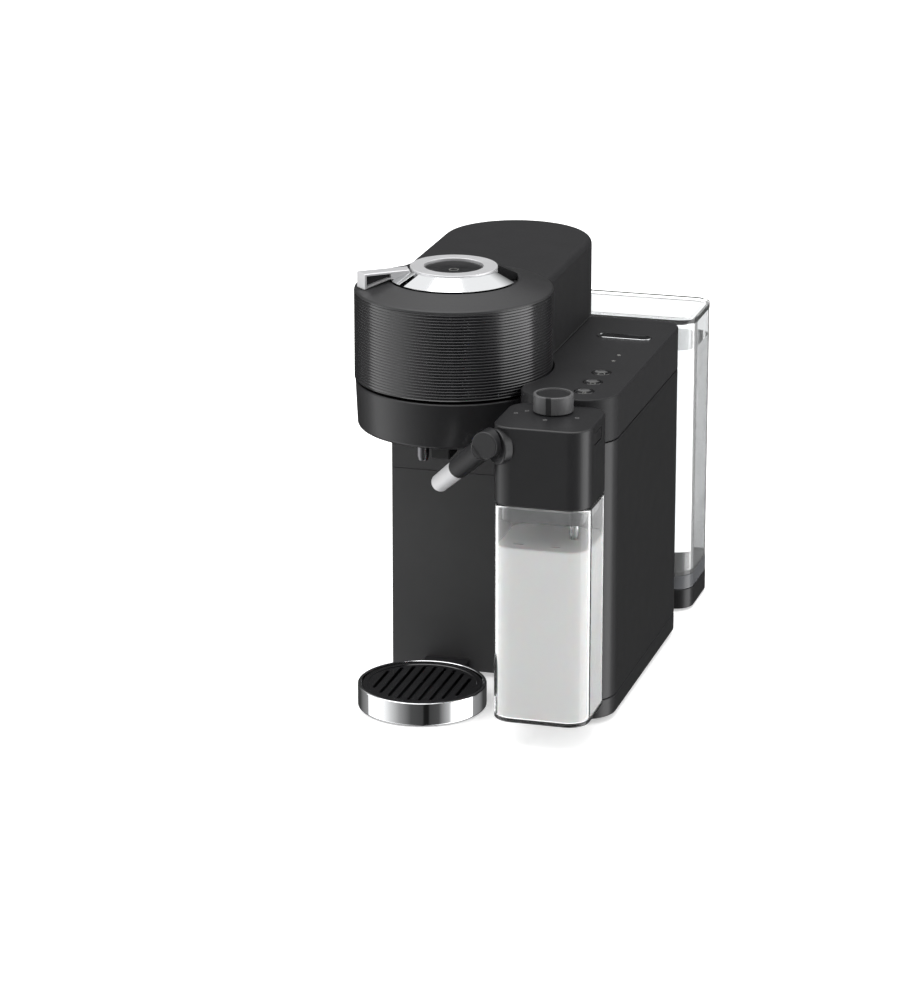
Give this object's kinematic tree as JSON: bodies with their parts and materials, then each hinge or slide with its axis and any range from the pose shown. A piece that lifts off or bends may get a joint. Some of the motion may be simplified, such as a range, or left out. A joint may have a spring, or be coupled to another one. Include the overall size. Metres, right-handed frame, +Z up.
{
  "type": "pod coffee machine",
  "caption": "Pod coffee machine with a ribbed tilting head on an arched column, chrome cup base, rear water tank and a docked milk carafe with a swinging froth spout.",
  "frame": {"origin": "centre of the bounding box at the bottom, on the surface the machine stands on", "axes": "+Z up, +Y from the cup side to the back, +X to the side that carries the milk carafe"},
  "size_m": [0.1994, 0.3992, 0.309],
  "materials": {
    "matte_black": "matte charcoal, fine grain",
    "gloss_black": "gloss",
    "dark_grey": "satin",
    "chrome": "polished",
    "steel": "brushed",
    "clear": "clear moulded plastic",
    "frosted_grey": "frosted",
    "rubber": "matte",
    "brass": "machined",
    "board_green": "circuit board",
    "light_window": "translucent",
    "white_plastic": "satin"
  },
  "bodies": {
    "machine": {"body_shell": "matte_black", "top_deck": "dark_grey", "brew_housing": "matte_black", "side_housing": "matte_black", "side_cover": "matte_black", "base_pan": "matte_black", "rubber_foot_1": "rubber", "rubber_foot_2": "rubber", "rubber_foot_3": "rubber", "rubber_foot_4": "rubber", "tank_stand": "matte_black", "coffee_outlet": "steel", "outlet_cover": "matte_black", "steam_port": "dark_grey", "blank_badge": "chrome", "indicator_light_1": "light_window", "indicator_light_2": "light_window", "control_board": "board_green", "water_pump": "dark_grey", "coffee_heater": "steel", "steam_heater": "steel", "flow_meter": "white_plastic", "inlet_hose": "rubber", "rotor_motor": "steel", "drive_belt": "rubber", "hinge_pin": "steel", "cord_gland": "rubber"},
    "head": {"head_cover": "matte_black", "dial_collar": "matte_black", "rib_sleeve": "gloss_black", "head_plate": "dark_grey", "head_seal": "rubber", "pierce_needle": "steel"},
    "lever": {"lock_ring": "dark_grey", "lock_lever": "chrome", "dial_skirt": "chrome", "dial_ring": "chrome"},
    "start": {"start_button": "gloss_black"},
    "cup_1": {"cup_button_1": "gloss_black"},
    "cup_2": {"cup_button_2": "gloss_black"},
    "cup_3": {"cup_button_3": "gloss_black"},
    "holder": {"capsule_holder": "dark_grey"},
    "pulley": {"motor_pulley": "brass"},
    "bin": {"capsule_bin": "matte_black"},
    "base": {"chrome_base": "chrome", "drip_cup": "matte_black", "drip_arm": "matte_black"},
    "grid": {"cup_grid": "gloss_black"},
    "tank": {"water_tank": "clear", "tank_collar": "frosted_grey", "tank_valve": "white_plastic"},
    "tank_top": {"tank_lid": "clear"},
    "carafe": {"milk_jug": "clear"},
    "carafe_top": {"carafe_head": "matte_black", "suction_tube": "clear"},
    "knob": {"froth_knob": "dark_grey", "knob_cap": "matte_black"},
    "spout": {"spout_arm": "matte_black", "spout_nozzle": "steel"},
    "release": {"carafe_button": "matte_black"}
  },
  "joints": [
    {"name": "head_open", "type": "hinge", "parent": "machine", "child": "head", "pos_m": [-0.02475, 0.13657, 0.241], "axis": [-1, 0, 0], "range_deg": [0, 30]},
    {"name": "lever_turn", "type": "hinge", "parent": "head", "child": "lever", "pos_m": [-0.02975, -0.06043, 0.309], "axis": [0, 0, 1], "range_deg": [0, 30]},
    {"name": "start_press", "type": "slide", "parent": "head", "child": "start", "axis": [0, 0, -1], "range_m": [0, 0.0015], "stiffness_N_per_m": 900, "springref_m": -0.0005},
    {"name": "cup_button_1_press", "type": "slide", "parent": "machine", "child": "cup_1", "axis": [0, 0, -1], "range_m": [0, 0.0015], "stiffness_N_per_m": 900, "springref_m": -0.0005},
    {"name": "cup_button_2_press", "type": "slide", "parent": "machine", "child": "cup_2", "axis": [0, 0, -1], "range_m": [0, 0.0015], "stiffness_N_per_m": 900, "springref_m": -0.0005},
    {"name": "cup_button_3_press", "type": "slide", "parent": "machine", "child": "cup_3", "axis": [0, 0, -1], "range_m": [0, 0.0015], "stiffness_N_per_m": 900, "springref_m": -0.0005},
    {"name": "holder_spin", "type": "hinge", "parent": "machine", "child": "holder", "pos_m": [-0.02975, -0.06043, 0.201], "axis": [0, 0, 1], "continuous": true},
    {"name": "motor_spin", "type": "hinge", "parent": "machine", "child": "pulley", "pos_m": [-0.02975, 0.03457, 0.201], "axis": [0, 0, 1], "continuous": true},
    {"name": "bin_slide", "type": "slide", "parent": "machine", "child": "bin", "axis": [-1, 0, 0], "range_m": [0, 0.06]},
    {"name": "base_slide", "type": "slide", "parent": "machine", "child": "base", "axis": [0, -1, 0], "range_m": [0, 0.08]},
    {"name": "grid_lift", "type": "slide", "parent": "base", "child": "grid", "axis": [0, 0, 1], "range_m": [0, 0.03]},
    {"name": "tank_lift", "type": "slide", "parent": "machine", "child": "tank", "axis": [0, 0.6, 0.8], "range_m": [0, 0.08]},
    {"name": "tank_lid_lift", "type": "slide", "parent": "tank", "child": "tank_top", "axis": [0, 0, 1], "range_m": [0, 0.04]},
    {"name": "carafe_slide", "type": "slide", "parent": "machine", "child": "carafe", "axis": [0, -1, 0], "range_m": [0, 0.08]},
    {"name": "carafe_head_lift", "type": "slide", "parent": "carafe", "child": "carafe_top", "axis": [0, 0, 1], "range_m": [0, 0.15]},
    {"name": "knob_turn", "type": "hinge", "parent": "carafe_top", "child": "knob", "pos_m": [0.06375, -0.14143, 0.246], "axis": [0, 0, 1], "range_deg": [-90, 90]},
    {"name": "spout_swing", "type": "hinge", "parent": "carafe_top", "child": "spout", "pos_m": [0.02749, -0.19254, 0.218], "axis": [-0.682, -0.7314, 0], "range_deg": [-18, 40]},
    {"name": "carafe_button_press", "type": "slide", "parent": "carafe_top", "child": "release", "axis": [-1, 0, 0], "range_m": [0, 0.001], "stiffness_N_per_m": 900, "springref_m": -0.0005}
  ],
  "couplings": [
    {"joint": "motor_spin", "follows": "holder_spin", "ratio": 2}
  ]
}
